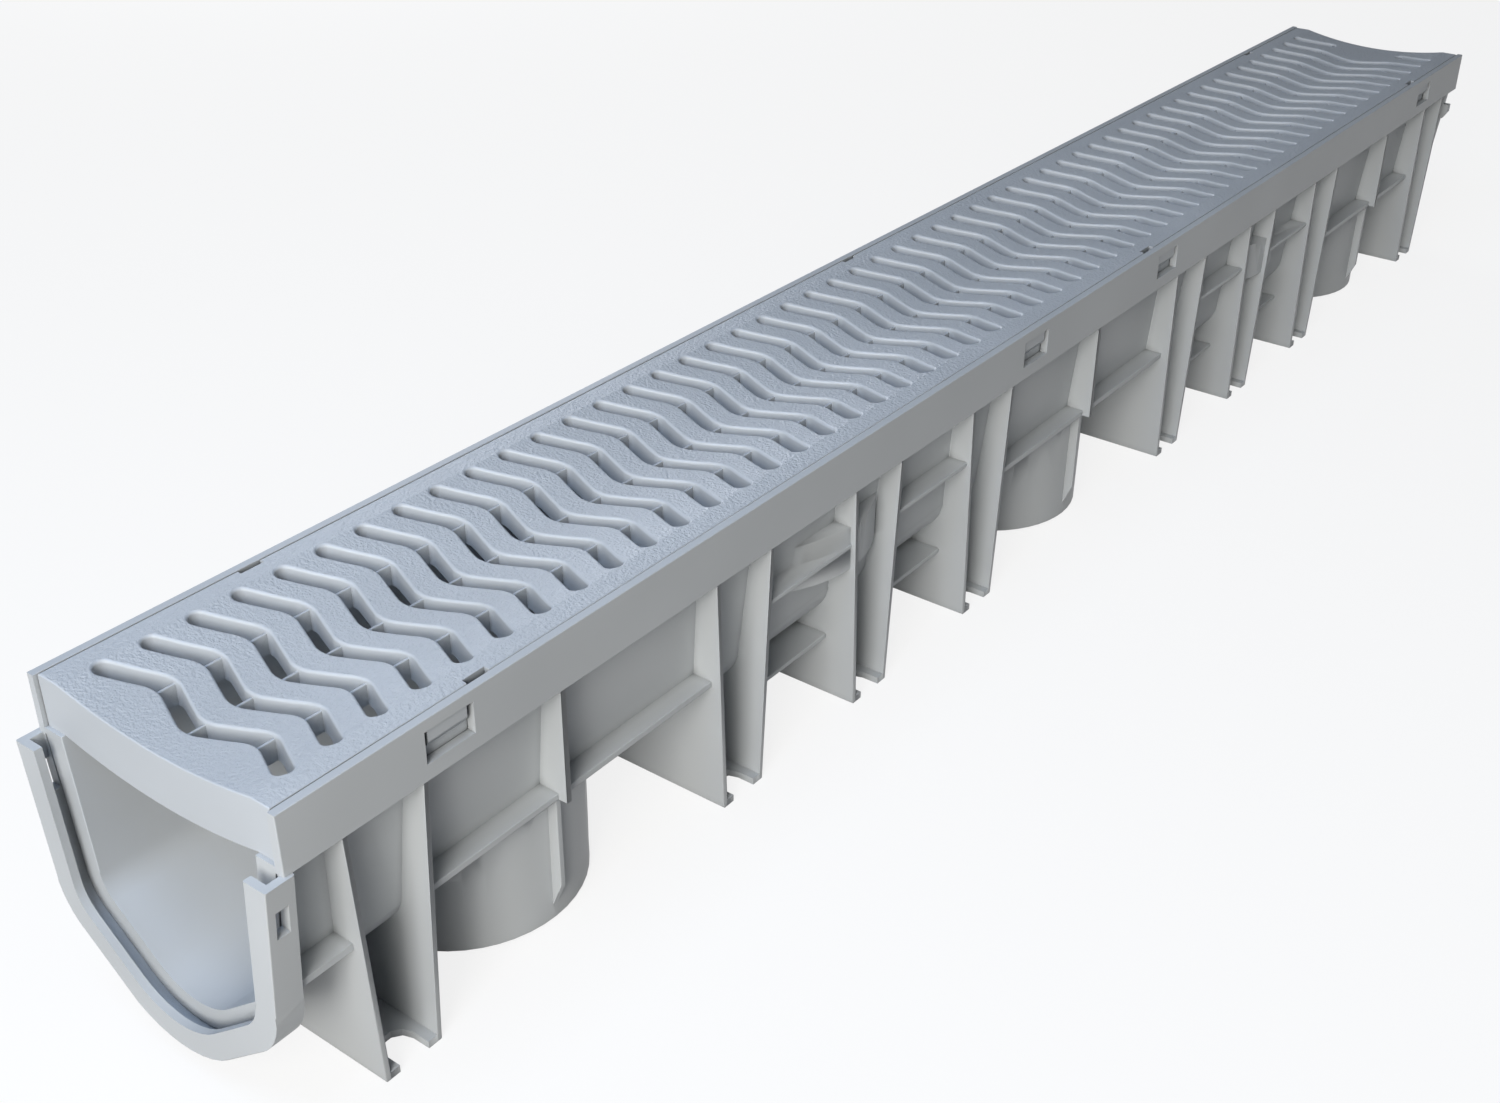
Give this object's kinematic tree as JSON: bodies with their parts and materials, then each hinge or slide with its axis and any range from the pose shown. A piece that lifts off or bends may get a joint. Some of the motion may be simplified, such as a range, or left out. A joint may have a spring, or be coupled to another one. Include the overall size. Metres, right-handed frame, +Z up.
{
  "type": "channel drain",
  "caption": "Plastic channel drain: U trough on leg pairs with outlet spigots below, a socket collar and a flange at its ends, and a dished zigzag-slotted grate clipped in its rim.",
  "frame": {"origin": "middle of the bottom of the whole drain, on the plane that its feet stand on", "axes": "+Z up, +Y along the drain from its socket collar to its flange end, +X to the right when looking along +Y"},
  "size_m": [0.1206, 1.008, 0.129],
  "materials": {
    "channel_body": "moulded polypropylene, satin",
    "grate": "moulded polypropylene, fine spark-eroded grain on top"
  },
  "bodies": {
    "root": {"channel_body": "channel_body", "grate": "grate"}
  },
  "joints": []
}
